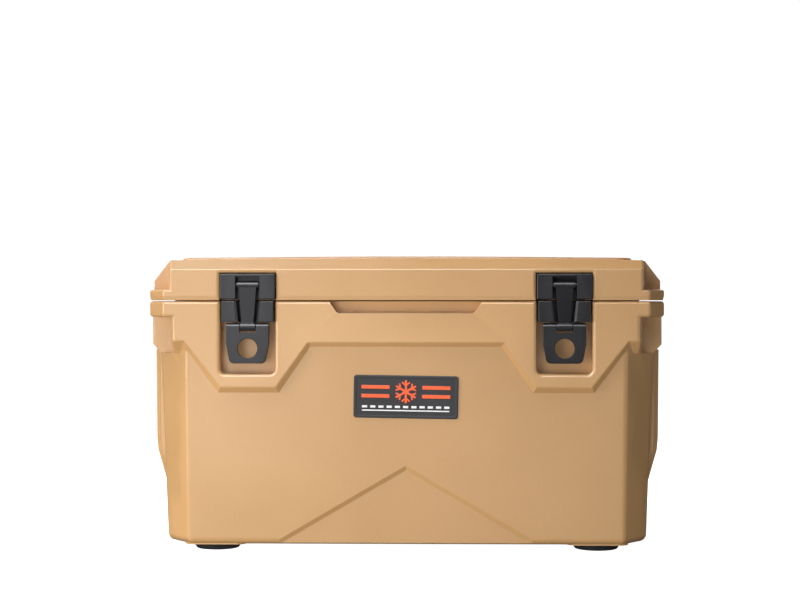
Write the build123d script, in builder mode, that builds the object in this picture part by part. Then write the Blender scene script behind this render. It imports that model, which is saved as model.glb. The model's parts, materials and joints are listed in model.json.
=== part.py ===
"""Rotomoulded cooler chest, in millimetres.

+Z is up, the front faces -Y and the origin is under the middle of the bounding box.
"""

from build123d import *
import os
from math import atan2, cos, radians, sin

os.makedirs("parts", exist_ok=True)

# ---- overall size
HALF_WIDTH = 350
FRONT = -203
BACK = 196
FLOOR_Z = 8.8
RIM_Z = 338.6
LID_Z = 340
SKIN = 4

# ---- tub body: an octagon that tapers towards the floor
TUB_TOP_Z = 317.5
TUB_TOP_HALF = 341
TUB_LOW_HALF = 329
FIELD_TOP_Y = -197.8
FIELD_LOW_Y = -186.5
REAR_TOP_Y = 189
REAR_LOW_Y = 178
CORNER_TOP = (44, 50)
CORNER_LOW = (34, 40)
CORNER_ROUND = 10
FLANGE_CORNER = (23, 28)
FLANGE_ROUND = 4

# ---- raised belt across the front, and the corner notches beside it
POST_X = 316.5
POST_ROUND = 7
NOTCH_Y = -153
NOTCH_ROUND = 8
BELT_DEEP = 30
BELT_SLOPE = 0.85
BELT_ROUND = 3.5
BELT_CREST_Z = 285.5
BELT_LOW_Z = 222.8
BELT_MID_Z = 283
BELT_X = (299, 250, 175.5, 132)

# ---- end handles
HANDLE_LOW_Z = 268
HANDLE_BACK = 146
HANDLE_BEVEL = 12
PANEL_FRONT = -140
PANEL_BACK = 132
GRIP_HALF = 62
GRIP_X = 320
GRIP_LOW_Z = 212
GRIP_TOP_Z = 302
GRIP_LIP = 12
PANEL_PROFILE = ((348, 272), (347, 150), (345.5, 133), (333.5, 91))

# ---- planes between the tub's floor, wall and grip foam, all clear of the cavity's straight middle
FLOOR_FOAM_Z = 51
WALL_FOAM_Y = (-127, 120)
WALL_FOAM_X = 252

# ---- cavity
CAVITY_Y = -3.5
CAVITY_TOP = (545, 279)
CAVITY_LOW = (528, 264)
CAVITY_FLOOR = 48
CAVITY_ROUND = 30
CAVITY_FLOOR_ROUND = 14

# ---- hinge
HINGE_Y = 198
HINGE_Z = 339
KNUCKLE_R = 8
KNUCKLE_GAP = 1.5
ROD_R = 4
RUNNING_FIT = 0.05
ROD_HALF = 312
TUB_KNUCKLES = ((-310, -230), (-78, 78), (230, 310))
ROD_CAP = (6.5, 316)
LID_KNUCKLES = ((-228, -80), (80, 228))

# ---- lid
LID_FLANGE_TOP = 354.2
LID_DRAFT = (1.4, 6)
LID_LOW_ROUND = 1.6
LID_POST_X = 319.5
LID_CREST_ROUND = 3
LID_SHOULDER_Z = 381.8
LID_TOP_Z = 396.7
LID_END = 347.5
LID_END_SHOULDER_Z = 366.5
LID_END_TOP = 326.3
LID_END_TOP_Z = 394
PANEL_HALF_X = 309
PANEL_EDGE = 40
PANEL_TOP_Z = 398
CROWN_Z = 400
PLUG_SIZE = (538, 272)
PLUG_DEEP = 15
GASKET_SIZE = (628, 334)
GASKET_WIDE = 12
GASKET_LOW = 338.9
GASKET_TOP = 345.5

# ---- latches
LATCH_X = 213
LATCH_BACK = -179
LIP = ((-0.6, 4.6), (0, 4.2), (0.5, 2.6), (1.5, 1.1), (3.2, 0))
TUB_RECESS = (75, 241, 7.5)
LID_RECESS = (76, 377)
LINK_PIVOT = (-199.5, 360.6)
LEVER_PIVOT = (-200.1, 304.5)
PIN_R = 2
MOUNT_FRONT = -206
MOUNT = (74, 341.5, 375.5)
MOUNT_SLOT = (33, 372, -190)
CATCH_FRONT = -205.5
CATCH_Z = (310.5, 339)
CATCH_HALF = 35
CATCH_PLATE_Y = -184
SCREW_X = 6

# ---- padlock holes, finger notch, studs
PADLOCK = (333, -172, 6)
FINGER = (104, 92, 322.5, 18)
STUD = (-173, 362)
STUD_SHANK_R = 3
STUD_HEAD = (4.6, 3.4)

# ---- threaded inserts, screws and foam fill holes
INSERT_R = 4
INSERT_LONG = 12
SCREW_R = 2
SCREW_HEAD_R = 4
FOOT_SCREW_R = 2.5
FILL_X = (-120, 120)
FILL_R = 14
FILL_DEEP = 6

# ---- feet
FOOT_X = 260
FOOT_Y = (-148, 134)
FOOT_PAD_Z = 7.8
FOOT_SEAT = 5.8
FOOT_SCREW_LOW = 3
FOOT_TOP_R = 34
FOOT_LOW_R = 29
FOOT_PAD = (84, 66)

# ---- badge on the sloped front field
BADGE = (141, 58, 2)
BADGE_Z = 209.6
BADGE_TURN = -0.95
EMBLEM_UP = 7

# ---- drain in the right end wall
DRAIN_Z = 69
DRAIN_TUBE_R = 12
DRAIN_BORE_R = 8.5
DRAIN_SEAT_X = 325
DRAIN_INNER_X = 267

FIELD_SLOPE = atan2(FIELD_LOW_Y - FIELD_TOP_Y, TUB_TOP_Z - FLOOR_Z)


def field_y(z):
    """Y of the sloped front field at height z."""
    return FIELD_LOW_Y + (FIELD_TOP_Y - FIELD_LOW_Y) * (z - FLOOR_Z) / (TUB_TOP_Z - FLOOR_Z)


def field_plane(z):
    """Plane on the front field at height z, with its normal pointing outwards."""
    normal = (0, -cos(FIELD_SLOPE), -sin(FIELD_SLOPE))
    return Plane(origin=(0, field_y(z), z), x_dir=(1, 0, 0), z_dir=normal)


def octagon(half_x, front, back, cut):
    """Corners of a rectangle with its four corners cut off."""
    cut_x, cut_y = cut
    right = [(half_x - cut_x, front), (half_x, front + cut_y)]
    right += [(half_x, back - cut_y), (half_x - cut_x, back)]
    left = [(-x, y) for x, y in reversed(right)]
    return right + left


def octagon_plate(outline, z_low, z_high, low_edge, top_edge, draft=None):
    """Flat plate with an octagon outline and soft edges, and with drafted sides if a draft is given."""
    with BuildPart() as plate:
        with BuildSketch(Plane.XY.offset(z_low)):
            with BuildLine():
                Polyline(*outline, close=True)
            make_face()
        extrude(amount=z_high - z_low)
        fillet(plate.edges().filter_by(Axis.Z), 6)
        fillet(plate.faces().sort_by(Axis.Z)[-1].edges(), top_edge)
        if draft:
            underside = plate.faces().sort_by(Axis.Z)[0]
            chamfer(underside.edges(), *draft, reference=underside)
        fillet(plate.faces().sort_by(Axis.Z)[0].edges(), low_edge)
    return plate.part


def tub_block(inset=0):
    """The tapered octagon body, or the same body drawn in by an inset."""
    low = octagon(TUB_LOW_HALF - inset, FIELD_LOW_Y + inset, REAR_LOW_Y - inset, CORNER_LOW)
    top = octagon(TUB_TOP_HALF - inset, FIELD_TOP_Y + inset, REAR_TOP_Y - inset, CORNER_TOP)
    with BuildPart() as block:
        for z, outline in ((FLOOR_Z + inset, low), (TUB_TOP_Z, top)):
            with BuildSketch(Plane.XY.offset(z)):
                with BuildLine():
                    Polyline(*outline, close=True)
                make_face()
        loft(ruled=True)
        if inset == 0:
            fillet([e for e in block.edges() if e.center().Z < TUB_TOP_Z - 1], CORNER_ROUND)
    return block.part


def belt():
    """Raised belt on the front, with a sloped lower edge that dips under each latch."""
    crest, dip_out, dip_in, middle = BELT_X
    half = [(middle, BELT_MID_Z), (dip_in, BELT_LOW_Z), (dip_out, BELT_LOW_Z), (crest, BELT_CREST_Z)]
    half += [(POST_X + 40, BELT_CREST_Z), (POST_X + 40, RIM_Z + 40)]
    outline = [(-x, z) for x, z in reversed(half)] + half
    with BuildPart() as band:
        with BuildSketch(Plane.XZ.offset(-FRONT)):
            with BuildLine():
                Polyline(*outline, close=True)
            make_face()
        with BuildSketch(Plane.XZ.offset(-FRONT - BELT_DEEP)):
            with BuildLine():
                Polyline(*outline, close=True)
            make_face()
            offset(amount=BELT_DEEP * BELT_SLOPE, kind=Kind.INTERSECTION)
        loft(ruled=True)
        with BuildSketch():
            with Locations((0, FRONT + BELT_DEEP)):
                Rectangle(2 * POST_X, 2 * BELT_DEEP)
        extrude(amount=RIM_Z - FLANGE_ROUND, mode=Mode.INTERSECT)
        for side in (-1, 1):
            under = ((side * 290, side * 400), (FRONT + 12, 0), (0, HANDLE_LOW_Z))
            add(box_between(*under), mode=Mode.SUBTRACT)
        posts = [e for e in band.edges().filter_by(Axis.Z) if abs(abs(e.center().X) - POST_X) < 0.1]
        fillet([e for e in posts if e.center().Y < FRONT + 1], POST_ROUND)
        lower = [e for e in band.edges() if abs(e.center().Y - FRONT) < 0.1 and e.center().Z < BELT_CREST_Z + 1]
        fillet([e for e in lower if abs(e.center().X) < POST_X - POST_ROUND], BELT_ROUND)
    return band.part


def corner_notch(side, inner_x, z_low, z_high):
    """Cutter for the notch in a front corner, with round inner edges."""
    with BuildPart() as cutter:
        add(box_between((side * inner_x, side * 400), (FRONT - 40, NOTCH_Y), (z_low, z_high)))
        inner = [e for e in cutter.edges() if abs(abs(e.center().X) - inner_x) < 0.1]
        upright = [e for e in inner if e.center().Y > NOTCH_Y - 1 and z_low + 1 < e.center().Z < z_high - 1]
        lower = [e for e in inner if e.center().Y < NOTCH_Y - 1 and e.center().Z < z_low + 1]
        fillet(upright + lower, NOTCH_ROUND)
    return cutter.part


def handle_block(side):
    """Moulded grip under the flange at one end, with the raised panel below it."""
    inner = 290
    with BuildPart() as grip:
        with BuildSketch(Plane.XZ.offset(-NOTCH_Y)):
            with BuildLine():
                Polyline(
                    (side * inner, RIM_Z - 6),
                    (side * HALF_WIDTH, RIM_Z - 6),
                    (side * HALF_WIDTH, HANDLE_LOW_Z + HANDLE_BEVEL),
                    (side * (HALF_WIDTH - HANDLE_BEVEL), HANDLE_LOW_Z),
                    (side * inner, HANDLE_LOW_Z),
                    close=True,
                )
            make_face()
        extrude(amount=-(HANDLE_BACK - NOTCH_Y))
        outer = [e for e in grip.edges().filter_by(Axis.Z) if abs(e.center().X) > HALF_WIDTH - 1]
        fillet(outer, 5)
    with BuildPart() as panel:
        with BuildSketch(Plane.XZ.offset(-PANEL_FRONT)):
            with BuildLine():
                outer = [(side * x, z) for x, z in PANEL_PROFILE]
                Polyline((side * inner, outer[0][1]), *outer, (side * inner, outer[-1][1]), close=True)
            make_face()
        extrude(amount=-(PANEL_BACK - PANEL_FRONT))
        upright = [e for e in panel.edges() if abs(e.center().X) > 338 and abs(e.tangent_at(0.5).Y) < 0.1]
        chamfer(upright, 7)
    return grip.part, panel.part


def rounded_box(size, z_low, z_high, y_mid, radius):
    """Upright box with round corners."""
    with BuildPart() as box:
        with BuildSketch(Plane.XY.offset(z_low)):
            with Locations((0, y_mid)):
                RectangleRounded(*size, radius)
        extrude(amount=z_high - z_low)
    return box.part


def cavity(outset=0):
    """Space inside the tub, or the same space drawn out by an outset."""
    with BuildPart() as space:
        rounds = CAVITY_ROUND + outset
        with BuildSketch(Plane.XY.offset(CAVITY_FLOOR - outset)):
            with Locations((0, CAVITY_Y)):
                RectangleRounded(CAVITY_LOW[0] + 2 * outset, CAVITY_LOW[1] + 2 * outset, rounds)
        with BuildSketch(Plane.XY.offset(RIM_Z + 1)):
            with Locations((0, CAVITY_Y)):
                RectangleRounded(CAVITY_TOP[0] + 2 * outset, CAVITY_TOP[1] + 2 * outset, rounds)
        loft(ruled=True)
        fillet(space.faces().sort_by(Axis.Z)[0].edges(), CAVITY_FLOOR_ROUND)
    return space.part


def front_box(x_mid, width, z_low, z_high, y_front, y_back, radius=0):
    """Cutter that opens at the front, with optional round lower corners."""
    with BuildPart() as cutter:
        with BuildSketch(Plane.XZ.offset(-y_front)):
            with Locations((x_mid, (z_low + z_high) / 2)):
                Rectangle(width, z_high - z_low)
        extrude(amount=-(y_back - y_front))
        if radius:
            lower = cutter.edges().filter_by(Axis.Y).group_by(Axis.Z)[0]
            fillet(lower, radius)
    return cutter.part


def recess_lip(x_mid, width, z_low, z_high, radius):
    """Soft lip round the mouth of a latch recess in the front face."""
    with BuildPart() as lip:
        for depth, grow in LIP:
            with BuildSketch(Plane.XZ.offset(-FRONT - depth)):
                with Locations((x_mid, (z_low + z_high) / 2)):
                    RectangleRounded(width + 2 * grow, z_high - z_low + 2 * grow, radius + grow)
        loft(ruled=True)
    return lip.part


def x_cylinder(x_low, x_high, y, z, radius):
    """Cylinder that lies along X."""
    with BuildPart() as rod:
        with BuildSketch(Plane.YZ.offset(x_low)):
            with Locations((y, z)):
                Circle(radius)
        extrude(amount=x_high - x_low)
    return rod.part


def y_cylinder(y_low, y_high, x, z, radius):
    """Cylinder that lies along Y."""
    with BuildPart() as rod:
        with BuildSketch(Plane.XZ.offset(-y_low)):
            with Locations((x, z)):
                Circle(radius)
        extrude(amount=-(y_high - y_low))
    return rod.part


def z_cylinder(z_low, z_high, x, y, radius):
    """Upright cylinder."""
    with BuildPart() as rod:
        with BuildSketch(Plane.XY.offset(z_low)):
            with Locations((x, y)):
                Circle(radius)
        extrude(amount=z_high - z_low)
    return rod.part


def peak_cutter():
    """Shallow triangle with sloped edges that is sunk into the front field."""
    outline = [(0, 108), (-218, -20), (218, -20)]
    base = field_plane(FLOOR_Z)
    with BuildPart() as peak:
        with BuildSketch(base.offset(2)):
            with BuildLine():
                Polyline(*outline, close=True)
            make_face()
            offset(amount=3.5, kind=Kind.INTERSECTION)
        with BuildSketch(base.offset(-3.5)):
            with BuildLine():
                Polyline(*outline, close=True)
            make_face()
            offset(amount=-6, kind=Kind.INTERSECTION)
        loft(ruled=True)
    return peak.part


def finger_notch():
    """Tapered cut in the front rim that fingers reach into to lift the lid."""
    top, low, z_low, deep = FINGER
    with BuildPart() as cut:
        with BuildSketch(Plane.XZ.offset(-FRONT + 2)):
            with BuildLine():
                Polyline((-top, RIM_Z + 1), (-low, z_low), (low, z_low), (top, RIM_Z + 1), close=True)
            make_face()
        extrude(amount=-(deep + 2))
        fillet(cut.edges().filter_by(Axis.Y).group_by(Axis.Z)[0], 5)
    return cut.part


def knuckles(spans, to_tub):
    """Hinge knuckles along the back, each with a web that runs into its moulding."""
    with BuildPart() as row:
        for x_low, x_high in spans:
            with BuildSketch(Plane.YZ.offset(x_low)):
                with Locations((HINGE_Y, HINGE_Z)):
                    Circle(KNUCKLE_R)
                if to_tub:
                    with Locations((HINGE_Y - 14, HINGE_Z - 7)):
                        Rectangle(22, 12)
                else:
                    with Locations((HINGE_Y - 14, HINGE_Z + 7.5)):
                        Rectangle(22, 10)
            extrude(amount=x_high - x_low)
    return row.part


def knuckle_clearance(spans):
    """Round grooves that let the other moulding's knuckles turn."""
    with BuildPart() as groove:
        for x_low, x_high in spans:
            with BuildSketch(Plane.YZ.offset(x_low - KNUCKLE_GAP)):
                with Locations((HINGE_Y, HINGE_Z)):
                    Circle(KNUCKLE_R + KNUCKLE_GAP)
            extrude(amount=x_high - x_low + 2 * KNUCKLE_GAP)
    return groove.part


def cap_clearance():
    """Pockets in both mouldings for the caps on the hinge rod's ends."""
    with BuildPart() as pockets:
        outer = TUB_KNUCKLES[-1][1]
        for low, high in ((-ROD_CAP[1] - 2, -outer), (outer, ROD_CAP[1] + 2)):
            add(x_cylinder(low, high, HINGE_Y, HINGE_Z, ROD_CAP[0] + KNUCKLE_GAP))
    return pockets.part


def foot_places():
    """Name and centre of each of the four feet."""
    for end, x in (("left", -FOOT_X), ("right", FOOT_X)):
        for row, y in (("front", FOOT_Y[0]), ("back", FOOT_Y[1])):
            yield f"{row}_{end}", x, y


def save(piece, name):
    """Label a finished piece and write its STEP file."""
    piece.label = name
    export_step(piece, f"parts/{name}.step")


# ---- foam cores, which fill every hollow of the two mouldings
def plain_block(outline, z_low, z_high):
    """Upright block with a straight-sided outline."""
    with BuildPart() as block:
        with BuildSketch(Plane.XY.offset(z_low)):
            with BuildLine():
                Polyline(*outline, close=True)
            make_face()
        extrude(amount=z_high - z_low)
    return block.part


def box_between(x_span, y_span, z_span):
    """Box between pairs of limits, in any order."""
    (x_low, x_high), (y_low, y_high), (z_low, z_high) = (sorted(s) for s in (x_span, y_span, z_span))
    with BuildPart() as box:
        with BuildSketch(Plane.XY.offset(z_low)):
            with Locations(((x_low + x_high) / 2, (y_low + y_high) / 2)):
                Rectangle(x_high - x_low, y_high - y_low)
        extrude(amount=z_high - z_low)
    return box.part


def end_foam(side):
    """Foam in one end's grip block and raised panel."""
    inner = 290
    grip = [(inner, 330), (HALF_WIDTH - SKIN, 330), (HALF_WIDTH - SKIN, 282), (337, 273), (inner, 273)]
    outer = [(x - SKIN - 1, z + SKIN) for x, z in PANEL_PROFILE]
    panel = [(inner, outer[0][1])] + outer + [(inner, outer[-1][1])]
    blocks = ((grip, NOTCH_Y + SKIN, HANDLE_BACK - SKIN), (panel, PANEL_FRONT + 6, PANEL_BACK - 6))
    with BuildPart() as foam:
        for profile, y_low, y_high in blocks:
            with BuildSketch(Plane.XZ.offset(-y_low)):
                with BuildLine():
                    Polyline(*[(side * x, z) for x, z in profile], close=True)
                make_face()
            extrude(amount=-(y_high - y_low))
    return foam.part


def make_tub_foam():
    rim = octagon(HALF_WIDTH - SKIN, FRONT + SKIN, BACK - SKIN, FLANGE_CORNER)
    with BuildPart() as foam:
        add(tub_block(inset=SKIN + 2))
        add(plain_block(rim, TUB_TOP_Z - 2, RIM_Z - SKIN))
        for side in (-1, 1):
            add(end_foam(side))
        add(cavity(outset=SKIN), mode=Mode.SUBTRACT)
        width, z_low, corner = TUB_RECESS
        for x in (-LATCH_X, LATCH_X):
            half = width / 2 + SKIN
            cut = ((x - half, x + half), (FRONT - 9, LATCH_BACK + SKIN), (z_low - SKIN, RIM_Z))
            add(box_between(*cut), mode=Mode.SUBTRACT)
            cut = ((x - 12, x + 12), (FRONT, LATCH_BACK + INSERT_LONG + SKIN), (302, RIM_Z))
            add(box_between(*cut), mode=Mode.SUBTRACT)
        half = FINGER[0] + SKIN
        cut = ((-half, half), (FRONT, FRONT + FINGER[3] + SKIN), (FINGER[2] - SKIN, RIM_Z))
        add(box_between(*cut), mode=Mode.SUBTRACT)
        add(box_between((-400, 400), (184, 260), (326, RIM_Z)), mode=Mode.SUBTRACT)
        for side in (-1, 1):
            reach = GRIP_HALF + SKIN
            notch = ((side * (POST_X - SKIN), side * 400), (FRONT - 9, NOTCH_Y + SKIN))
            add(box_between(*notch, (HANDLE_LOW_Z - SKIN, TUB_TOP_Z + SKIN)), mode=Mode.SUBTRACT)
            pocket = ((side * (GRIP_X - SKIN), side * 400), (-reach, reach))
            add(box_between(*pocket, (GRIP_LOW_Z - SKIN, HANDLE_LOW_Z + SKIN)), mode=Mode.SUBTRACT)
            gap = ((side * (GRIP_X - SKIN), side * (HALF_WIDTH - GRIP_LIP + 3)), (-reach, reach))
            add(box_between(*gap, (HANDLE_LOW_Z, GRIP_TOP_Z + SKIN)), mode=Mode.SUBTRACT)
            spot = (side * PADLOCK[0], PADLOCK[1], PADLOCK[2] + SKIN)
            add(z_cylinder(300, RIM_Z, *spot), mode=Mode.SUBTRACT)
        add(x_cylinder(200, HALF_WIDTH, 0, DRAIN_Z, 27), mode=Mode.SUBTRACT)
        for name, x, y in foot_places():
            add(z_cylinder(0, 32, x, y, 7), mode=Mode.SUBTRACT)
        for x in FILL_X:
            add(z_cylinder(0, FLOOR_Z + FILL_DEEP + SKIN, x, 0, FILL_R + SKIN), mode=Mode.SUBTRACT)
    return foam.part


def foam_share(foam, x_span, y_span, z_span):
    """Share of the tub's foam inside a box."""
    with BuildPart() as share:
        add(foam)
        add(box_between(x_span, y_span, z_span), mode=Mode.INTERSECT)
    return share.part


def save_tub_foam(foam):
    """Save the tub's foam as floor, walls and grips."""
    full_x, walls_z = (-HALF_WIDTH, HALF_WIDTH), (FLOOR_FOAM_Z, RIM_Z)
    front, back = WALL_FOAM_Y
    grip_x = GRIP_X - SKIN
    save(foam_share(foam, full_x, (FRONT, BACK), (0, FLOOR_FOAM_Z)), "floor_foam")
    save(foam_share(foam, full_x, (FRONT, front), walls_z), "front_wall_foam")
    save(foam_share(foam, full_x, (back, BACK), walls_z), "back_wall_foam")
    for end, side in (("left", -1), ("right", 1)):
        wall_x, outer_x = (side * WALL_FOAM_X, side * grip_x), (side * grip_x, side * HALF_WIDTH)
        save(foam_share(foam, wall_x, WALL_FOAM_Y, walls_z), f"{end}_wall_foam")
        save(foam_share(foam, outer_x, WALL_FOAM_Y, walls_z), f"{end}_grip_foam")


def make_lid_foam():
    low, end_x, end_top = 350, LID_END - SKIN, LID_END_TOP - SKIN
    top = LID_TOP_Z - SKIN - 1
    with BuildPart() as foam:
        with BuildSketch(Plane.XZ.offset(-FRONT - SKIN)):
            with BuildLine():
                right = [(end_x, low), (end_x, LID_END_SHOULDER_Z - 2), (end_top, top - 2)]
                Polyline(*right, *[(-x, z) for x, z in reversed(right)], close=True)
            make_face()
        extrude(amount=-(BACK - FRONT - 2 * SKIN))
        with BuildSketch(Plane.YZ.offset(-LID_END)):
            with BuildLine():
                front, back, shoulder = FRONT + SKIN, BACK - SKIN, LID_SHOULDER_Z - 2
                slope = top - shoulder
                Polyline(
                    (front, low),
                    (front, shoulder),
                    (front + slope, top),
                    (back - slope, top),
                    (back, shoulder),
                    (back, low),
                    close=True,
                )
            make_face()
        extrude(amount=2 * LID_END, mode=Mode.INTERSECT)
        rear = [e for e in foam.edges().filter_by(Axis.Z) if e.center().Y > back - 1]
        chamfer(rear, 20)
        add(rounded_box((600, 312), 380, PANEL_TOP_Z - SKIN, CAVITY_Y + 3, 14))
        plug = (PLUG_SIZE[0] - 2 * SKIN, PLUG_SIZE[1] - 2 * SKIN)
        add(rounded_box(plug, LID_Z - PLUG_DEEP + SKIN, low + 2, CAVITY_Y, 24))
        add(box_between((-400, 400), (184, 260), (0, 356)), mode=Mode.SUBTRACT)
        for x in (-LATCH_X, LATCH_X):
            half = LID_RECESS[0] / 2 + SKIN
            cut = ((x - half, x + half), (FRONT - 9, LATCH_BACK + SKIN), (0, LID_RECESS[1] + SKIN))
            add(box_between(*cut), mode=Mode.SUBTRACT)
            cut = ((x - 18, x + 18), (FRONT, LATCH_BACK + INSERT_LONG + SKIN), (0, 358))
            add(box_between(*cut), mode=Mode.SUBTRACT)
        for side in (-1, 1):
            notch = ((side * (POST_X - SKIN), side * 400), (FRONT - 9, NOTCH_Y + SKIN), (0, 500))
            add(box_between(*notch), mode=Mode.SUBTRACT)
            stud = ((side * (POST_X - 15), side * LID_POST_X), (STUD[0] - 6, STUD[0] + 6))
            add(box_between(*stud, (STUD[1] - 6, STUD[1] + 6)), mode=Mode.SUBTRACT)
        for x in FILL_X:
            add(z_cylinder(300, LID_Z - PLUG_DEEP + FILL_DEEP + SKIN, x, 0, FILL_R + SKIN), mode=Mode.SUBTRACT)
    return foam.part


# ---- foam fill plugs

def make_fill_plugs(z_seat, z_in):
    """Two round plugs that close the holes the foam was poured through."""
    with BuildPart() as plugs:
        for x in FILL_X:
            low, high = sorted((z_seat, z_in))
            add(z_cylinder(low, high, x, 0, FILL_R))
        face = plugs.faces().filter_by(Axis.Z).group_by(Axis.Z)[0 if z_seat < z_in else -1]
        chamfer(face.edges(), 1)
    return plugs.part


# ---- mouldings
def make_tub_shell(foam):
    with BuildPart() as tub:
        add(tub_block())
        add(belt())
        outline = octagon(HALF_WIDTH, FRONT, BACK, FLANGE_CORNER)
        add(octagon_plate(outline, TUB_TOP_Z, RIM_Z, FLANGE_ROUND, FLANGE_ROUND))
        for side in (-1, 1):
            for piece in handle_block(side):
                add(piece)
        for name, x, y in foot_places():
            with BuildSketch(Plane.XY.offset(FOOT_PAD_Z)):
                with Locations((x, y)):
                    RectangleRounded(*FOOT_PAD, 14)
            extrude(amount=FLOOR_Z - FOOT_PAD_Z + 2)
        add(knuckles(TUB_KNUCKLES, True))
        for side in (-1, 1):
            add(corner_notch(side, POST_X, HANDLE_LOW_Z, TUB_TOP_Z), mode=Mode.SUBTRACT)
            with BuildSketch(Plane.XY.offset(GRIP_LOW_Z)):
                with Locations((side * (GRIP_X + 30), 0)):
                    Rectangle(60, 2 * GRIP_HALF)
            extrude(amount=HANDLE_LOW_Z - GRIP_LOW_Z, mode=Mode.SUBTRACT)
            lip = (GRIP_X + HALF_WIDTH - GRIP_LIP) / 2
            with BuildSketch(Plane.XY.offset(HANDLE_LOW_Z - 1)):
                with Locations((side * lip, 0)):
                    Rectangle(HALF_WIDTH - GRIP_LIP - GRIP_X, 2 * GRIP_HALF)
            extrude(amount=GRIP_TOP_Z - HANDLE_LOW_Z + 1, mode=Mode.SUBTRACT)
            add(z_cylinder(300, 345, side * PADLOCK[0], PADLOCK[1], PADLOCK[2]), mode=Mode.SUBTRACT)
        add(peak_cutter(), mode=Mode.SUBTRACT)
        add(finger_notch(), mode=Mode.SUBTRACT)
        width, z_low, corner = TUB_RECESS
        for x in (-LATCH_X, LATCH_X):
            cut = front_box(x, width, z_low, RIM_Z + 20, FRONT - 5, LATCH_BACK, corner)
            add(cut, mode=Mode.SUBTRACT)
            add(recess_lip(x, width, z_low, RIM_Z + 20, corner), mode=Mode.SUBTRACT)
        add(knuckle_clearance(LID_KNUCKLES), mode=Mode.SUBTRACT)
        add(cap_clearance(), mode=Mode.SUBTRACT)
        add(cavity(), mode=Mode.SUBTRACT)
        add(foam, mode=Mode.SUBTRACT)
        add(x_cylinder(-ROD_HALF, ROD_HALF, HINGE_Y, HINGE_Z, ROD_R), mode=Mode.SUBTRACT)
        add(x_cylinder(230, DRAIN_INNER_X, 0, DRAIN_Z, 19.5), mode=Mode.SUBTRACT)
        add(x_cylinder(DRAIN_INNER_X, DRAIN_SEAT_X, 0, DRAIN_Z, DRAIN_TUBE_R), mode=Mode.SUBTRACT)
        add(x_cylinder(DRAIN_SEAT_X, HALF_WIDTH, 0, DRAIN_Z, 23), mode=Mode.SUBTRACT)
        for x, z in catch_screw_places():
            add(y_cylinder(LATCH_BACK, LATCH_BACK + INSERT_LONG, x, z, INSERT_R), mode=Mode.SUBTRACT)
        for name, x, y in foot_places():
            add(z_cylinder(FOOT_PAD_Z, FOOT_PAD_Z + 18, x, y, FOOT_SCREW_R), mode=Mode.SUBTRACT)
        for x in FILL_X:
            add(z_cylinder(FLOOR_Z, FLOOR_Z + FILL_DEEP, x, 0, FILL_R), mode=Mode.SUBTRACT)
    return tub.part


def make_lid_shell(foam, gasket):
    with BuildPart() as lid:
        with BuildSketch(Plane.XZ.offset(-FRONT)):
            with BuildLine():
                outer = [(LID_END_TOP, LID_END_TOP_Z), (LID_END, LID_END_SHOULDER_Z), (LID_END, 346)]
                mirrored = [(-x, z) for x, z in outer]
                Polyline(*outer, *reversed(mirrored))
                ThreePointArc(mirrored[0], (0, LID_TOP_Z), outer[0])
            make_face()
        extrude(amount=-(BACK - FRONT))
        with BuildSketch(Plane.YZ.offset(-LID_END)):
            with BuildLine():
                slope = LID_TOP_Z - LID_SHOULDER_Z
                Polyline(
                    (FRONT, 346),
                    (FRONT, LID_SHOULDER_Z),
                    (FRONT + slope, LID_TOP_Z),
                    (BACK - slope, LID_TOP_Z),
                    (BACK, LID_SHOULDER_Z),
                    (BACK, 346),
                    close=True,
                )
            make_face()
        extrude(amount=2 * LID_END, mode=Mode.INTERSECT)
        rear = [e for e in lid.edges().filter_by(Axis.Z) if e.center().Y > BACK - 1]
        chamfer(rear, 20)
        for side in (-1, 1):
            add(corner_notch(side, LID_POST_X, 320, 420), mode=Mode.SUBTRACT)
        posts = [e for e in lid.edges().filter_by(Axis.Z) if e.center().Y < FRONT + 1]
        fillet(posts, 5)
        crests = [e for e in lid.edges() if e.length > 300 and e.center().Z > LID_SHOULDER_Z - 1]
        fillet(crests, LID_CREST_ROUND)
        outline = octagon(HALF_WIDTH, FRONT, BACK, FLANGE_CORNER)
        add(octagon_plate(outline, LID_Z, LID_FLANGE_TOP, LID_LOW_ROUND, 3, draft=LID_DRAFT))
        add(top_panel())
        add(rounded_box(PLUG_SIZE, LID_Z - PLUG_DEEP, LID_Z + 2, CAVITY_Y, 28))
        add(knuckles(LID_KNUCKLES, False))
        add(knuckle_clearance(TUB_KNUCKLES), mode=Mode.SUBTRACT)
        add(cap_clearance(), mode=Mode.SUBTRACT)
        add(foam, mode=Mode.SUBTRACT)
        add(gasket, mode=Mode.SUBTRACT)
        rod_bore = ROD_R + RUNNING_FIT
        add(x_cylinder(-ROD_HALF, ROD_HALF, HINGE_Y, HINGE_Z, rod_bore), mode=Mode.SUBTRACT)
        for x in (-LATCH_X, LATCH_X):
            width, z_high = LID_RECESS
            cut = front_box(x, width, LID_Z - 20, z_high, FRONT - 5, LATCH_BACK)
            add(cut, mode=Mode.SUBTRACT)
            add(recess_lip(x, width, LID_Z - 20, z_high, 0.5), mode=Mode.SUBTRACT)
        for side in (-1, 1):
            add(z_cylinder(335, 360, side * PADLOCK[0], PADLOCK[1], PADLOCK[2]), mode=Mode.SUBTRACT)
            low, high = sorted((side * (LID_POST_X - 12), side * LID_POST_X))
            add(x_cylinder(low, high, *STUD, STUD_SHANK_R), mode=Mode.SUBTRACT)
        for x, z in mount_screw_places():
            add(y_cylinder(LATCH_BACK, LATCH_BACK + INSERT_LONG, x, z, INSERT_R), mode=Mode.SUBTRACT)
        plug_low = LID_Z - PLUG_DEEP
        for x in FILL_X:
            add(z_cylinder(plug_low, plug_low + FILL_DEEP, x, 0, FILL_R), mode=Mode.SUBTRACT)
    return lid.part


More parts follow.
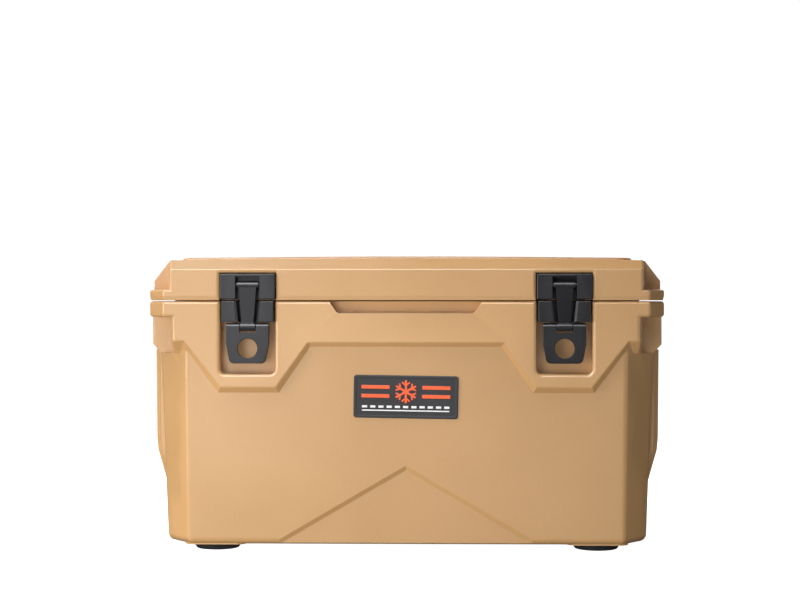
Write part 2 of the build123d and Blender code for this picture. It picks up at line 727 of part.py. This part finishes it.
def top_panel():
    """Raised panel on the lid, a little crowned along its length."""
    front = FRONT + PANEL_EDGE
    back = BACK - PANEL_EDGE + 4
    with BuildPart() as panel:
        with BuildSketch(Plane.XZ.offset(-front)):
            with BuildLine():
                side = [(PANEL_HALF_X, PANEL_TOP_Z), (PANEL_HALF_X, 388)]
                Polyline(*side, (-PANEL_HALF_X, 388), (-PANEL_HALF_X, PANEL_TOP_Z))
                ThreePointArc((-PANEL_HALF_X, PANEL_TOP_Z), (0, CROWN_Z), side[0])
            make_face()
        extrude(amount=-(back - front))
        fillet(panel.edges().filter_by(Axis.Z), 18)
        fillet(panel.faces().sort_by(Axis.Z)[-1].edges(), 3)
    return panel.part


def make_gasket():
    with BuildPart() as ring:
        with BuildSketch(Plane.XY.offset(GASKET_LOW)):
            with Locations((0, CAVITY_Y + 0.5)):
                RectangleRounded(GASKET_SIZE[0] + GASKET_WIDE, GASKET_SIZE[1] + GASKET_WIDE, 28)
                inner = (GASKET_SIZE[0] - GASKET_WIDE, GASKET_SIZE[1] - GASKET_WIDE)
                RectangleRounded(*inner, 18, mode=Mode.SUBTRACT)
        extrude(amount=GASKET_TOP - GASKET_LOW)
        fillet(ring.faces().sort_by(Axis.Z)[0].edges(), 2)
    return ring.part


# ---- fasteners

def mount_screw_places():
    return [(x + dx, 351) for x in (-LATCH_X, LATCH_X) for dx in (-SCREW_X, SCREW_X)]


def catch_screw_places():
    return [(x, z) for x in (-LATCH_X, LATCH_X) for z in (316, 331)]


def make_inserts(places):
    with BuildPart() as inserts:
        for x, z in places:
            add(y_cylinder(LATCH_BACK, LATCH_BACK + INSERT_LONG, x, z, INSERT_R))
            add(y_cylinder(LATCH_BACK, LATCH_BACK + 10, x, z, SCREW_R), mode=Mode.SUBTRACT)
    return inserts.part


def make_latch_screws(places, seat_y):
    """Button-head screws that run back through a latch piece into its inserts."""
    with BuildPart() as screws:
        for x, z in places:
            add(y_cylinder(seat_y, LATCH_BACK + 10, x, z, SCREW_R))
            add(y_cylinder(seat_y - 2.2, seat_y, x, z, SCREW_HEAD_R))
        heads = screws.faces().filter_by(Axis.Y).group_by(Axis.Y)[0]
        fillet(heads.edges(), 1.2)
        for x, z in places:
            with BuildSketch(Plane.XZ.offset(-seat_y + 2.2)):
                with Locations((x, z)):
                    RegularPolygon(1.6, 6)
            extrude(amount=-1.4, mode=Mode.SUBTRACT)
    return screws.part


def make_foot_screws():
    with BuildPart() as screws:
        for name, x, y in foot_places():
            add(z_cylinder(FOOT_SCREW_LOW, FOOT_PAD_Z + 18, x, y, FOOT_SCREW_R))
            add(z_cylinder(FOOT_SCREW_LOW, FOOT_SEAT, x, y, 5))
        for name, x, y in foot_places():
            with BuildSketch(Plane.XY.offset(FOOT_SCREW_LOW)):
                with Locations((x, y)):
                    RegularPolygon(2.2, 6)
            extrude(amount=1.6, mode=Mode.SUBTRACT)
    return screws.part


# ---- latches
def make_latch_mount(x_mid):
    width, z_low, z_high = MOUNT
    slot, slot_top, slot_back = MOUNT_SLOT
    with BuildPart() as mount:
        add(front_box(x_mid, width, z_low, z_high, MOUNT_FRONT, LATCH_BACK))
        front = mount.faces().sort_by(Axis.Y)[0]
        fillet(front.edges(), 1.2)
        add(front_box(x_mid, slot, z_low - 1, slot_top, MOUNT_FRONT - 1, slot_back), mode=Mode.SUBTRACT)
        add(x_cylinder(x_mid - 26, x_mid + 26, *LINK_PIVOT, PIN_R), mode=Mode.SUBTRACT)
        for x, z in mount_screw_places():
            if abs(x - x_mid) < 20:
                add(y_cylinder(slot_back, LATCH_BACK, x, z, SCREW_R), mode=Mode.SUBTRACT)
    return mount.part


def make_latch_catch(x_mid):
    z_low, z_high = CATCH_Z
    with BuildPart() as catch:
        add(front_box(x_mid, 2 * CATCH_HALF, z_low, z_high, CATCH_FRONT, LATCH_BACK))
        with BuildSketch(Plane.XZ.offset(-CATCH_FRONT + 1)):
            with BuildLine():
                Polyline(
                    (x_mid - 15.5, z_high + 1),
                    (x_mid - 12.4, z_low - 1),
                    (x_mid + 12.4, z_low - 1),
                    (x_mid + 15.5, z_high + 1),
                    close=True,
                )
            make_face()
        extrude(amount=-(CATCH_PLATE_Y - CATCH_FRONT + 1), mode=Mode.SUBTRACT)
        inner = [e for e in catch.edges() if e.length > 20 and abs(e.center().X - x_mid) < 16]
        slopes = [e for e in inner if e.center().Y < CATCH_FRONT + 1 and abs(e.tangent_at(0.5).Z) > 0.9]
        chamfer(slopes, 3)
        front = catch.faces().sort_by(Axis.Y)[0:2].edges()
        fillet([e for e in front if abs(e.center().X - x_mid) > 22], 1)
        for x, z in catch_screw_places():
            if abs(x - x_mid) < 20:
                add(y_cylinder(CATCH_PLATE_Y, LATCH_BACK, x, z, SCREW_R), mode=Mode.SUBTRACT)
    return catch.part


def make_latch_link(x_mid):
    top_y, top_z = LINK_PIVOT
    low_y, low_z = LEVER_PIVOT
    with BuildPart() as link:
        with BuildSketch(Plane.XZ.offset(204)):
            with BuildLine():
                Polyline(
                    (x_mid - 12.1, top_z),
                    (x_mid - 7.6, low_z),
                    (x_mid + 7.6, low_z),
                    (x_mid + 12.1, top_z),
                    close=True,
                )
            make_face()
        extrude(amount=-4.5)
        add(x_cylinder(x_mid - 14.9, x_mid + 14.9, top_y, top_z, 5.3))
        add(x_cylinder(x_mid - 10.5, x_mid + 10.5, low_y, low_z, 5.9))
        ends = link.faces().filter_by(Axis.X)
        chamfer(ends.edges(), 0.5)
        bore = PIN_R + RUNNING_FIT
        for y, z in (LINK_PIVOT, LEVER_PIVOT):
            add(x_cylinder(x_mid - 20, x_mid + 20, y, z, bore), mode=Mode.SUBTRACT)
    return link.part


def make_latch_lever(x_mid):
    y, z = LEVER_PIVOT
    top_half, low_half = 29, 24
    low_z, taper_z = 254.9, 281.6
    ear_r = 4.9
    front = y - ear_r
    back = front + 5
    with BuildPart() as lever:
        with BuildSketch(Plane.YZ.offset(x_mid - top_half)):
            with BuildLine():
                Polyline((y + ear_r, z), (y + ear_r, z - 6), (back, z - 14), (back, low_z), (front, low_z))
                Line((front, low_z), (front, z))
                ThreePointArc((front, z), (y, z + ear_r), (y + ear_r, z))
            make_face()
        extrude(amount=2 * top_half)
        with BuildSketch(Plane.XZ.offset(-front + 5)):
            with BuildLine():
                Polyline(
                    (x_mid - top_half, z + 20),
                    (x_mid - top_half, taper_z),
                    (x_mid - low_half, low_z),
                    (x_mid + low_half, low_z),
                    (x_mid + top_half, taper_z),
                    (x_mid + top_half, z + 20),
                    close=True,
                )
            make_face()
        extrude(amount=-25, mode=Mode.INTERSECT)
        corners = [e for e in lever.edges().filter_by(Axis.Y) if e.center().Z < low_z + 1]
        fillet(corners, 7)
        rim = [e for e in lever.edges() if abs(e.center().Y - front) < 0.01 and e.center().Z < z - 1]
        fillet(rim, 0.9)
        notch = front_box(x_mid, 22.4, z - 7.9, z + 10, front - 1, y + 10)
        add(notch, mode=Mode.SUBTRACT)
        add(y_cylinder(front - 1, back + 2, x_mid, 275.2, 13.2), mode=Mode.SUBTRACT)
        hole = [e for e in lever.edges().filter_by(GeomType.CIRCLE) if abs(e.radius - 13.2) < 0.01]
        chamfer(hole, 0.7)
        add(x_cylinder(x_mid - 24, x_mid + 24, y, z, PIN_R), mode=Mode.SUBTRACT)
    return lever.part


def make_pin(x_mid, half, pivot):
    with BuildPart() as pin:
        add(x_cylinder(x_mid - half, x_mid + half, *pivot, PIN_R))
        chamfer(pin.faces().filter_by(Axis.X).edges(), 0.3)
    return pin.part


# ---- hinge rod
def make_hinge_rod():
    with BuildPart() as rod:
        add(x_cylinder(-ROD_HALF, ROD_HALF, HINGE_Y, HINGE_Z, ROD_R))
    return rod.part


def make_rod_caps():
    with BuildPart() as caps:
        outer = TUB_KNUCKLES[-1][1]
        for low, high in ((-ROD_CAP[1], -outer), (outer, ROD_CAP[1])):
            add(x_cylinder(low, high, HINGE_Y, HINGE_Z, ROD_CAP[0]))
        ends = caps.faces().filter_by(Axis.X)
        chamfer([ends.sort_by(Axis.X)[0].edges()[0], ends.sort_by(Axis.X)[-1].edges()[0]], 1.5)
        add(x_cylinder(-ROD_HALF, ROD_HALF, HINGE_Y, HINGE_Z, ROD_R), mode=Mode.SUBTRACT)
    return caps.part


# ---- feet
def make_foot(x, y):
    with BuildPart() as foot:
        with BuildSketch():
            with Locations((x, y)):
                Circle(FOOT_LOW_R)
        with BuildSketch(Plane.XY.offset(FOOT_PAD_Z)):
            with Locations((x, y)):
                Circle(FOOT_TOP_R)
        loft()
        fillet(foot.faces().sort_by(Axis.Z)[0].edges(), 2)
        add(z_cylinder(0, FOOT_SEAT, x, y, 5), mode=Mode.SUBTRACT)
        add(z_cylinder(0, FOOT_PAD_Z, x, y, FOOT_SCREW_R), mode=Mode.SUBTRACT)
    return foot.part


# ---- badge: a dark plate with a raised snowflake between bars, over a thin rule
def badge_plane(height=0):
    plane = field_plane(BADGE_Z).offset(height)
    turn = radians(BADGE_TURN)
    x_dir = plane.x_dir * cos(turn) + plane.y_dir * sin(turn)
    return Plane(origin=plane.origin, x_dir=x_dir, z_dir=plane.z_dir)


def make_badge_plate():
    width, tall, thick = BADGE
    with BuildPart() as plate:
        with BuildSketch(badge_plane()):
            RectangleRounded(width, tall, 4)
        extrude(amount=thick)
        top = plate.faces().sort_by(Axis.Y)[0]
        fillet(top.edges(), 0.8)
        with BuildSketch(badge_plane(thick)):
            RectangleRounded(width - 7, tall - 7, 2.5)
        extrude(amount=-0.5, mode=Mode.SUBTRACT)
    return plate.part


def make_badge_emblem():
    """Snowflake with six forked arms, and two stacked bars on each side of it."""
    base = badge_plane(BADGE[2] - 0.5)
    with BuildPart() as emblem:
        with BuildSketch(base):
            for turn in range(30, 210, 60):
                with Locations((0, EMBLEM_UP)):
                    Rectangle(31, 3, rotation=turn)
            for turn in range(30, 390, 60):
                knot = (8.5 * cos(radians(turn)), 8.5 * sin(radians(turn)) + EMBLEM_UP)
                for lean in (-50, 50):
                    with Locations(knot):
                        Rectangle(7, 2.2, rotation=turn + lean, align=(Align.MIN, Align.CENTER))
            for side in (-1, 1):
                for dy in (-6, 6):
                    with Locations((side * 41, EMBLEM_UP + dy)):
                        Rectangle(38, 5)
        extrude(amount=0.9)
    return emblem.part


def make_badge_rule():
    with BuildPart() as rule:
        with BuildSketch(badge_plane(BADGE[2] - 0.5)):
            with Locations((0, -18.5)):
                Rectangle(118, 1.6)
            for step in range(-5, 6):
                with Locations((step * 11.1, -13.5)):
                    Rectangle(7, 3)
        extrude(amount=0.7)
    return rule.part


# ---- bottle opener studs in the lid's corner notches
def make_stud(side):
    with BuildPart() as stud:
        low, high = sorted((side * (LID_POST_X - 12), side * LID_POST_X))
        add(x_cylinder(low, high, *STUD, STUD_SHANK_R))
        low, high = sorted((side * LID_POST_X, side * (LID_POST_X + STUD_HEAD[1])))
        add(x_cylinder(low, high, *STUD, STUD_HEAD[0]))
        head = stud.faces().filter_by(Axis.X).sort_by(Axis.X)[-1 if side > 0 else 0]
        fillet(head.edges(), 1.6)
    return stud.part


# ---- drain
def make_drain_gasket():
    with BuildPart() as gasket:
        add(x_cylinder(DRAIN_SEAT_X, DRAIN_SEAT_X + 2, 0, DRAIN_Z, 19))
        add(x_cylinder(DRAIN_SEAT_X, DRAIN_SEAT_X + 2, 0, DRAIN_Z, DRAIN_TUBE_R), mode=Mode.SUBTRACT)
    return gasket.part


def make_drain_fitting():
    with BuildPart() as fitting:
        add(x_cylinder(DRAIN_INNER_X - 8, DRAIN_SEAT_X + 7, 0, DRAIN_Z, DRAIN_TUBE_R))
        add(x_cylinder(DRAIN_SEAT_X + 2, DRAIN_SEAT_X + 7, 0, DRAIN_Z, 21))
        rim = fitting.faces().filter_by(Axis.X).sort_by(Axis.X)[-1]
        fillet(rim.edges(), 1.5)
        add(x_cylinder(200, HALF_WIDTH, 0, DRAIN_Z, DRAIN_BORE_R), mode=Mode.SUBTRACT)
    return fitting.part


def make_drain_nut():
    with BuildPart() as nut:
        with BuildSketch(Plane.YZ.offset(DRAIN_INNER_X - 7)):
            with Locations((0, DRAIN_Z)):
                RegularPolygon(18, 6)
                Circle(DRAIN_TUBE_R, mode=Mode.SUBTRACT)
        extrude(amount=7)
    return nut.part


def make_drain_seal():
    low = DRAIN_SEAT_X + 7.1
    with BuildPart() as seal:
        add(x_cylinder(low, low + 1.6, 0, DRAIN_Z, 13))
        add(x_cylinder(low, low + 1.6, 0, DRAIN_Z, DRAIN_BORE_R), mode=Mode.SUBTRACT)
    return seal.part


def make_drain_plug():
    seat = DRAIN_SEAT_X + 9
    with BuildPart() as plug:
        add(x_cylinder(seat - 26, seat + 1, 0, DRAIN_Z, DRAIN_BORE_R - 0.3))
        with BuildSketch(Plane.YZ.offset(seat)):
            with Locations((0, DRAIN_Z)):
                Circle(16)
                with PolarLocations(16.6, 10):
                    Circle(2.4, mode=Mode.SUBTRACT)
        extrude(amount=4)
        with BuildSketch(Plane.YZ.offset(seat + 4)):
            with Locations((0, DRAIN_Z)):
                SlotOverall(26, 7)
        extrude(amount=7)
        chamfer(plug.faces().filter_by(Axis.X).sort_by(Axis.X)[-1].edges(), 1)
    return plug.part


# ---- build and save every piece
tub_foam = make_tub_foam()
lid_foam = make_lid_foam()
lid_gasket = make_gasket()
save_tub_foam(tub_foam)
save(lid_foam, "lid_foam")
save(lid_gasket, "lid_gasket")
save(make_tub_shell(tub_foam), "tub_shell")
save(make_lid_shell(lid_foam, lid_gasket), "lid_shell")
save(make_fill_plugs(FLOOR_Z, FLOOR_Z + FILL_DEEP), "tub_fill_plugs")
save(make_fill_plugs(LID_Z - PLUG_DEEP, LID_Z - PLUG_DEEP + FILL_DEEP), "lid_fill_plugs")
save(make_hinge_rod(), "hinge_rod")
save(make_rod_caps(), "hinge_rod_caps")

for end, x in (("left", -LATCH_X), ("right", LATCH_X)):
    save(make_latch_mount(x), f"latch_mount_{end}")
    save(make_latch_catch(x), f"latch_catch_{end}")
    save(make_latch_link(x), f"latch_link_{end}")
    save(make_latch_lever(x), f"latch_lever_{end}")
    save(make_pin(x, 26, LINK_PIVOT), f"link_pin_{end}")
    save(make_pin(x, 24, LEVER_PIVOT), f"lever_pin_{end}")

save(make_latch_screws(mount_screw_places(), MOUNT_SLOT[2]), "latch_mount_screws")
save(make_latch_screws(catch_screw_places(), CATCH_PLATE_Y), "latch_catch_screws")
save(make_inserts(mount_screw_places()), "lid_inserts")
save(make_inserts(catch_screw_places()), "tub_inserts")

for name, x, y in foot_places():
    save(make_foot(x, y), f"foot_{name}")
save(make_foot_screws(), "foot_screws")

save(make_badge_plate(), "badge_plate")
save(make_badge_emblem(), "badge_emblem")
save(make_badge_rule(), "badge_rule")

for end, side in (("left", -1), ("right", 1)):
    save(make_stud(side), f"opener_stud_{end}")

save(make_drain_gasket(), "drain_gasket")
save(make_drain_fitting(), "drain_fitting")
save(make_drain_nut(), "drain_nut")
save(make_drain_seal(), "drain_seal")
save(make_drain_plug(), "drain_plug")
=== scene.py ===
"""Looks for the cooler chest: procedural materials, studio, camera. Metres, same frame as the CAD."""

import bpy
import json
from math import cos, pi, radians, sin
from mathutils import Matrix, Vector


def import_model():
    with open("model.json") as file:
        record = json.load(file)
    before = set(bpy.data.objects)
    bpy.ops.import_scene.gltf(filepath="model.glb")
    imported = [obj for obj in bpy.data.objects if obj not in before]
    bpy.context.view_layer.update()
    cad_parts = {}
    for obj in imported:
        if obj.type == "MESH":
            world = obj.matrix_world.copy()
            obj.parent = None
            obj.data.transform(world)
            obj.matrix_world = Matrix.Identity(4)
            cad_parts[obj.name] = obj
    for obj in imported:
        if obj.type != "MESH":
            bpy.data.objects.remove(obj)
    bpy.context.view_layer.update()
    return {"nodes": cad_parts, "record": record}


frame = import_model()

# Base colours of the tan mouldings, linear RGB. The plastic drifts slowly from one to the other.
TAN_DARK = (0.530, 0.300, 0.121)
TAN_LIGHT = (0.575, 0.330, 0.139)
EDGE_ROUND = 0.001         # radius that the shading gives to every moulded edge

CHEST_MIDDLE = Vector((0, 0, 0.2))
SHEET_HALF_WIDTH = 9.0     # the white sheets run this far to each side
FLOOR_NEAR = -1.1          # front edge of the floor sheet, between the chest and the camera
WALL_FOOT = 4.5            # where the floor ends and the wall starts to bend up
WALL_BEND = 2.5            # radius of that bend
WALL_TOP = 6.0
WORLD_STRENGTH = 0.05

# The eye is level with the gap under the lid and a little to the right of the chest's middle.
EYE = (0.0426, -2.4026, 0.341)
EYE_TURN = 1.31            # degrees to the left
LENS = 73.7                # mm, on a 36 mm sensor
SENSOR = 36


# ---------------------------------------------------------------- node tree helper
class Tree:
    """A material's node tree, with short calls that add nodes and link them."""

    def __init__(self, name):
        self.material = bpy.data.materials.new(name)
        self.material.use_nodes = True
        self.nodes = self.material.node_tree.nodes
        self.links = self.material.node_tree.links
        self.shader = self.nodes["Principled BSDF"]
        self.place = self.add("ShaderNodeTexCoord").outputs["Object"]

    def add(self, kind, **inputs):
        """New node with these input values; an underscore stands for a space in an input's name."""
        node = self.nodes.new(kind)
        for key, value in inputs.items():
            node.inputs[key.replace("_", " ")].default_value = value
        return node

    def link(self, output, target):
        self.links.new(output, target)

    def noise(self, size, detail=3.0, roughness=0.5, stretch=(1, 1, 1)):
        """Noise whose features are about `size` metres across."""
        mapping = self.add("ShaderNodeMapping")
        mapping.inputs["Scale"].default_value = [s / size for s in stretch]
        self.link(self.place, mapping.inputs["Vector"])
        node = self.add("ShaderNodeTexNoise", Scale=1.0, Detail=detail, Roughness=roughness)
        self.link(mapping.outputs["Vector"], node.inputs["Vector"])
        return node.outputs["Fac"]

    def ramp(self, value, low, high, start=0.3, end=0.7):
        """Colour that goes from `low` to `high` as value goes from start to end."""
        node = self.add("ShaderNodeValToRGB")
        first, last = node.color_ramp.elements
        first.position, first.color = start, (*low, 1)
        last.position, last.color = end, (*high, 1)
        self.link(value, node.inputs["Fac"])
        return node.outputs["Color"]

    def remap(self, value, low, high, start=0.0, end=1.0):
        """Value scaled from start..end to low..high."""
        node = self.add("ShaderNodeMapRange")
        for slot, number in zip(("From Min", "From Max", "To Min", "To Max"), (start, end, low, high)):
            node.inputs[slot].default_value = number
        self.link(value, node.inputs["Value"])
        return node.outputs["Result"]

    def mix(self, factor, under, over):
        """The `under` colour output, covered by the RGB triple `over` as far as the factor output says."""
        node = self.add("ShaderNodeMix")
        node.data_type = "RGBA"
        factor_in, under_in, over_in = (node.inputs[slot] for slot in (0, 6, 7))
        self.link(factor, factor_in)
        self.link(under, under_in)
        over_in.default_value = (*over, 1)
        return node.outputs[2]

    def bump(self, height, distance, strength=1.0, below=None):
        """Normal with this relief, laid over the normal `below`."""
        node = self.add("ShaderNodeBump", Strength=strength, Distance=distance)
        self.link(height, node.inputs["Height"])
        if below is not None:
            self.link(below, node.inputs["Normal"])
        return node.outputs["Normal"]

    def edges(self):
        """1 on convex edges, 0 on flat faces."""
        geometry = self.add("ShaderNodeNewGeometry")
        return self.remap(geometry.outputs["Pointiness"], 0, 1, start=0.505, end=0.56)

    def rounded(self):
        """Normal that rounds off the sharp edges."""
        node = self.add("ShaderNodeBevel", Radius=EDGE_ROUND)
        node.samples = 4
        return node.outputs["Normal"]

    def finish(self, color, roughness, normal=None, **fixed):
        """Connect colour, roughness and normal, and set the values that are the same all over."""
        self.link(color, self.shader.inputs["Base Color"])
        self.link(roughness, self.shader.inputs["Roughness"])
        if normal is not None:
            self.link(normal, self.shader.inputs["Normal"])
        for key, value in fixed.items():
            self.shader.inputs[key.replace("_", " ")].default_value = value
        return self.material


# ---------------------------------------------------------------- materials
def moulded(name, dark, light, rough, grain=0.0011, depth=0.00005, rub_and_highlight=None, **fixed):
    """Moulded plastic: slow colour drift, dark specks, fine grain, faint waves, paler convex edges
    (painted edge highlight with some rubbed wear).
    """
    t = Tree(name)
    drift = t.noise(0.16, detail=2)
    speck = t.noise(0.0016, detail=2)
    color = t.ramp(drift, dark, light)
    color = t.mix(t.remap(speck, 0.0, 0.16, 0.35, 0.75), color, [c * 0.72 for c in dark])
    # Convex edges are painted paler: a painted edge highlight, with some rubbed wear.
    worn_and_highlight_edge = rub_and_highlight or [min(1, c * 1.25) for c in light]
    color = t.mix(t.remap(t.edges(), 0, 0.35), color, worn_and_highlight_edge)
    patch = t.noise(0.045, detail=4, roughness=0.6)
    roughness = t.remap(patch, rough - 0.03, rough + 0.05, 0.3, 0.7)
    fine = t.noise(grain, detail=2)
    waves = t.noise(0.06, detail=1)
    normal = t.bump(waves, 0.0012, 0.35, below=t.rounded())
    normal = t.bump(fine, depth, below=normal)
    return t.finish(color, roughness, normal, **fixed)


def steel(name):
    """Brushed stainless steel with fine turning lines round the X axis."""
    t = Tree(name)
    lines = t.noise(0.004, detail=4, stretch=(40, 1, 1))
    color = t.ramp(lines, (0.50, 0.50, 0.49), (0.68, 0.68, 0.67))
    roughness = t.remap(lines, 0.2, 0.38)
    return t.finish(color, roughness, t.bump(lines, 0.00002, 0.6), Metallic=1.0)


def brass(name):
    """Dull, patchy brass."""
    t = Tree(name)
    patch = t.noise(0.003, detail=4)
    color = t.ramp(patch, (0.45, 0.28, 0.09), (0.66, 0.45, 0.19))
    return t.finish(color, t.remap(patch, 0.25, 0.45), t.bump(patch, 0.00004), Metallic=1.0)


def rubber(name, dark, light):
    """Matte rubber with a dusty bloom."""
    t = Tree(name)
    dust = t.noise(0.012, detail=5, roughness=0.65)
    color = t.ramp(dust, dark, light)
    fine = t.noise(0.0008, detail=2)
    return t.finish(color, t.remap(dust, 0.62, 0.85), t.bump(fine, 0.00006), Specular_IOR_Level=0.35)


def foam(name):
    """Rigid insulating foam with small cells."""
    t = Tree(name)
    cells = t.add("ShaderNodeTexVoronoi", Scale=700.0)
    t.link(t.place, cells.inputs["Vector"])
    depth = cells.outputs["Distance"]
    color = t.ramp(depth, (0.78, 0.70, 0.46), (0.90, 0.84, 0.64), 0.1, 0.6)
    return t.finish(color, t.remap(depth, 0.8, 0.95), t.bump(depth, 0.0004))


MATERIALS = {
    "tan_shell": moulded("tan_shell", TAN_DARK, TAN_LIGHT, 0.36, Coat_Weight=0.25, Coat_Roughness=0.1),
    "fill_plug": moulded("fill_plug", (0.50, 0.29, 0.13), (0.55, 0.32, 0.15), 0.5),
    "latch_plastic": moulded(
        "latch_plastic", (0.010, 0.010, 0.013), (0.015, 0.015, 0.019), 0.34,
        # Paler latch edges: painted edge highlight with some rubbed wear.
        grain=0.0007, depth=0.00004, rub_and_highlight=(0.05, 0.05, 0.055),
        Specular_IOR_Level=0.3, Coat_Weight=0.3, Coat_Roughness=0.2,
    ),
    "drain_plastic": moulded("drain_plastic", (0.03, 0.03, 0.034), (0.04, 0.04, 0.045), 0.5),
    "badge_dark": moulded("badge_dark", (0.022, 0.022, 0.025), (0.030, 0.030, 0.034), 0.5),
    "badge_orange": moulded("badge_orange", (0.80, 0.085, 0.012), (0.90, 0.11, 0.018), 0.38),
    "badge_white": moulded("badge_white", (0.78, 0.78, 0.76), (0.86, 0.86, 0.84), 0.4),
    "stainless": steel("stainless"),
    "brass": brass("brass"),
    "rubber_black": rubber("rubber_black", (0.012, 0.012, 0.013), (0.028, 0.028, 0.029)),
    "gasket_grey": rubber("gasket_grey", (0.07, 0.07, 0.075), (0.11, 0.11, 0.115)),
    "foam": foam("foam"),
}


def dress_cad():
    """Give each CAD node the material of its slot in the record."""
    for part in frame["record"]["subparts"]:
        mesh = frame["nodes"][part["node"]].data
        mesh.materials.clear()
        mesh.materials.append(MATERIALS[part["material_slot"]])


# ---------------------------------------------------------------- studio
def backdrop(name, profile, in_mirror):
    """White sheet: a (y, z) profile swept along X. It glows white, but lights nothing else."""
    points = [(x, y, z) for y, z in profile for x in (-SHEET_HALF_WIDTH, SHEET_HALF_WIDTH)]
    faces = [(2 * i, 2 * i + 1, 2 * i + 3, 2 * i + 2) for i in range(len(profile) - 1)]
    mesh = bpy.data.meshes.new(name)
    mesh.from_pydata(points, [], faces)
    mesh.shade_smooth()
    sheet = bpy.data.objects.new(name, mesh)
    bpy.context.scene.collection.objects.link(sheet)
    t = Tree(name)
    grain = t.noise(0.01)
    t.finish(t.ramp(grain, (0.90, 0.90, 0.90), (0.92, 0.92, 0.92)), t.remap(grain, 0.85, 0.95))
    t.shader.inputs["Emission Color"].default_value = (1, 1, 1, 1)
    t.shader.inputs["Emission Strength"].default_value = 1.0
    mesh.materials.append(t.material)
    sheet.visible_diffuse = False
    sheet.visible_glossy = in_mirror


def studio_sheets():
    """Floor, and a wall behind that bends up out of it. Only the wall shows in reflections."""
    steps = 24
    turns = [i / steps * pi / 2 for i in range(steps + 1)]
    bend = [(WALL_FOOT + WALL_BEND * sin(a), WALL_BEND - WALL_BEND * cos(a)) for a in turns]
    backdrop("floor_sheet", [(FLOOR_NEAR, 0.0), (WALL_FOOT, 0.0)], False)
    backdrop("wall_sheet", bend + [(WALL_FOOT + WALL_BEND, WALL_TOP)], True)


def area_light(name, place, size, power, lights=True, shines=True):
    """Rectangular lamp aimed at the middle of the chest, that lights it, shines in it, or both."""
    lamp = bpy.data.lights.new(name, "AREA")
    lamp.shape = "RECTANGLE"
    lamp.size, lamp.size_y = size
    lamp.energy = power
    holder = bpy.data.objects.new(name, lamp)
    holder.location = place
    aim = CHEST_MIDDLE - Vector(place)
    holder.rotation_euler = aim.to_track_quat("-Z", "Y").to_euler()
    holder.visible_diffuse = lights
    holder.visible_glossy = shines
    bpy.context.scene.collection.objects.link(holder)


def lamps():
    """Key from the front left, so the chest darkens to the right. Glow and sheen are only reflections."""
    area_light("key", (-0.62, -1.5, 0.25), (0.5, 0.8), 6.6, shines=False)
    area_light("glow", (-0.6, -1.3, 1.4), (2.2, 0.9), 75, lights=False)
    area_light("sheen", (-0.6, -1.7, 0.25), (0.8, 0.8), 3, lights=False)
    area_light("top", (-0.5, 0.05, 1.9), (2.2, 0.5), 44, shines=False)
    area_light("bounce", (-0.2, -0.75, 0.02), (1.6, 0.6), 5.5, shines=False)
    area_light("left", (-2.4, -1.1, 0.5), (0.8, 1.0), 26)
    area_light("right", (2.4, -0.9, 0.5), (0.6, 1.0), 6)


def world():
    """Faint even light from all round."""
    sky = bpy.data.worlds.new("studio")
    sky.use_nodes = True
    background = sky.node_tree.nodes["Background"]
    background.inputs["Color"].default_value = (1, 1, 1, 1)
    background.inputs["Strength"].default_value = WORLD_STRENGTH
    bpy.context.scene.world = sky
    bpy.context.scene.view_settings.view_transform = "Standard"


def camera():
    """Level camera in front of the chest."""
    data = bpy.data.cameras.new("camera")
    data.lens = LENS
    data.sensor_width = SENSOR
    holder = bpy.data.objects.new("camera", data)
    holder.location = EYE
    holder.rotation_euler = (radians(90), 0, radians(EYE_TURN))
    bpy.context.scene.collection.objects.link(holder)
    bpy.context.scene.camera = holder


dress_cad()
studio_sheets()
world()
lamps()
camera()
